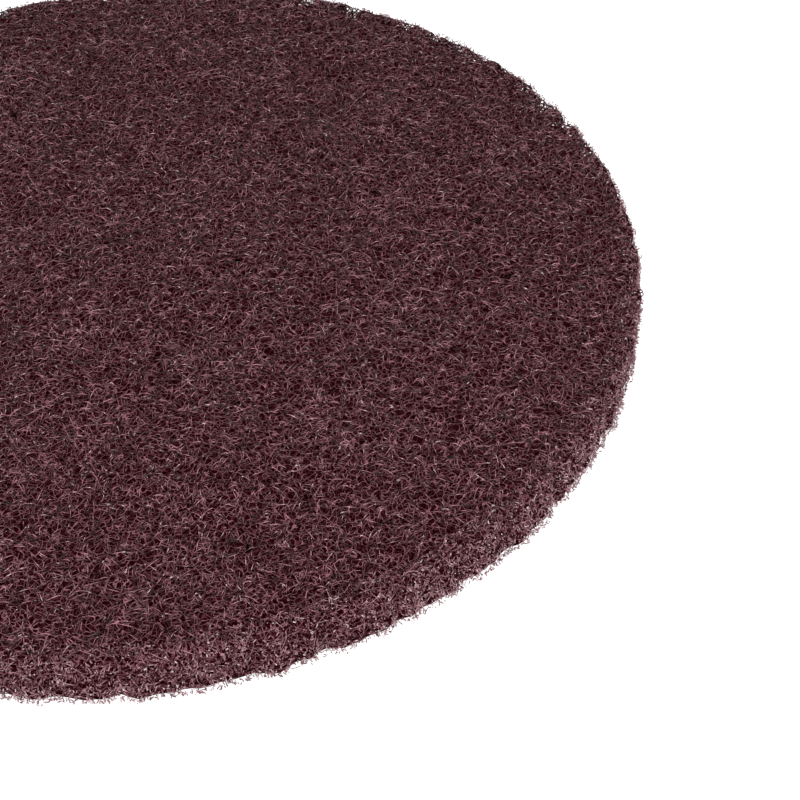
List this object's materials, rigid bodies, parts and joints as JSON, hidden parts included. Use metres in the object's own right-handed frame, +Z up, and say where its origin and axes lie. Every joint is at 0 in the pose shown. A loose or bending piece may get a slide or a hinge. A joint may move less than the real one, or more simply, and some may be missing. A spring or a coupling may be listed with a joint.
{
  "type": "round scouring pad",
  "caption": "Round floor-machine scouring pad: one flat disc of open nonwoven nylon web with a ragged cut rim, alike on both faces.",
  "frame": {"origin": "middle of the underside, on the floor that the pad lies on", "axes": "+Z up through the thickness; X and Y lie in the plane of the disc, which is alike in every direction"},
  "size_m": [0.4057, 0.4056, 0.0215],
  "materials": {
    "fibre_web": "maroon open nonwoven of crimped nylon fibre, bonded with resin and abrasive grain, with a slight gloss on each fibre"
  },
  "bodies": {
    "root": {"scouring_pad": "fibre_web"}
  },
  "joints": []
}
